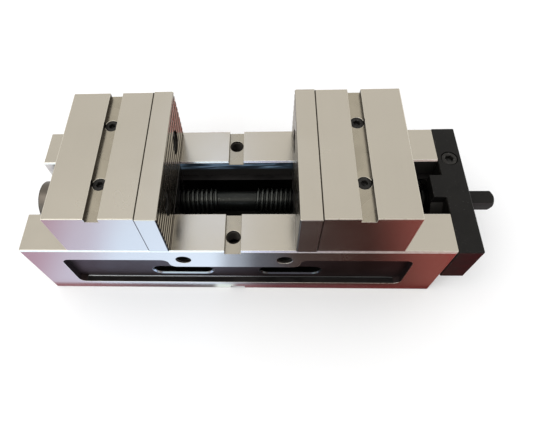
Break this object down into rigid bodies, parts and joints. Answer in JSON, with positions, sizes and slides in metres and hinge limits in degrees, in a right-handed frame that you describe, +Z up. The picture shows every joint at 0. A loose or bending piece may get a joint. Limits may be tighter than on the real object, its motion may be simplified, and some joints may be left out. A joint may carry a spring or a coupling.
{
  "type": "self-centering vise",
  "caption": "Self-centering machine vise with a slotted ground body, serrated jaws drawn together by a left- and right-hand screw, and a square drive.",
  "frame": {"origin": "on the underside at the cross keyway, on the vise's centre line, where both jaws meet the middle", "axes": "+X along the screw towards its square drive, +Y across to the rear, +Z up through the jaws"},
  "size_m": [0.491, 0.152, 0.1615],
  "materials": {
    "ground_steel": "ground, satin",
    "black_steel": "black oxide, matt",
    "screw_steel": "black oxide, turned",
    "slide_steel": "milled and phosphated",
    "fastener_steel": "black oxide, hardened",
    "bronze": "turned"
  },
  "bodies": {
    "base": {"vise_body": "ground_steel", "end_plate": "black_steel", "end_plate_screws": "fastener_steel", "pinch_screw": "fastener_steel", "bearing_sleeve": "bronze", "inner_thrust_washer": "slide_steel", "outer_thrust_washer": "slide_steel", "bearing_block": "black_steel", "bearing_block_screws": "fastener_steel", "left_bush": "bronze"},
    "screw": {"lead_screw": "screw_steel", "lock_nut": "fastener_steel", "lock_nut_screw": "fastener_steel"},
    "left_jaw": {"left_carrier": "ground_steel", "left_jaw_plate": "ground_steel", "left_jaw_plate_screws": "fastener_steel", "left_slide": "slide_steel", "left_carrier_screws": "fastener_steel", "left_cross_key": "ground_steel", "left_hold_down_plate": "slide_steel", "left_hold_down_screws": "fastener_steel"},
    "right_jaw": {"right_carrier": "ground_steel", "right_jaw_plate": "ground_steel", "right_jaw_plate_screws": "fastener_steel", "right_slide": "slide_steel", "right_carrier_screws": "fastener_steel", "right_cross_key": "ground_steel", "right_hold_down_plate": "slide_steel", "right_hold_down_screws": "fastener_steel"}
  },
  "joints": [
    {"name": "right_jaw_slide", "type": "slide", "parent": "base", "child": "right_jaw", "axis": [1, 0, 0], "range_m": [-0.061, 0.037]},
    {"name": "left_jaw_slide", "type": "slide", "parent": "base", "child": "left_jaw", "axis": [-1, 0, 0], "range_m": [-0.061, 0.037]},
    {"name": "screw_spin", "type": "hinge", "parent": "base", "child": "screw", "pos_m": [0, 0, 0.06875], "axis": [1, 0, 0], "range_deg": [-4392.5, 2664.5]}
  ],
  "couplings": [
    {"joint": "left_jaw_slide", "follows": "right_jaw_slide", "ratio": 1},
    {"joint": "screw_spin", "follows": "right_jaw_slide", "rad_per_m": 1256.6}
  ]
}
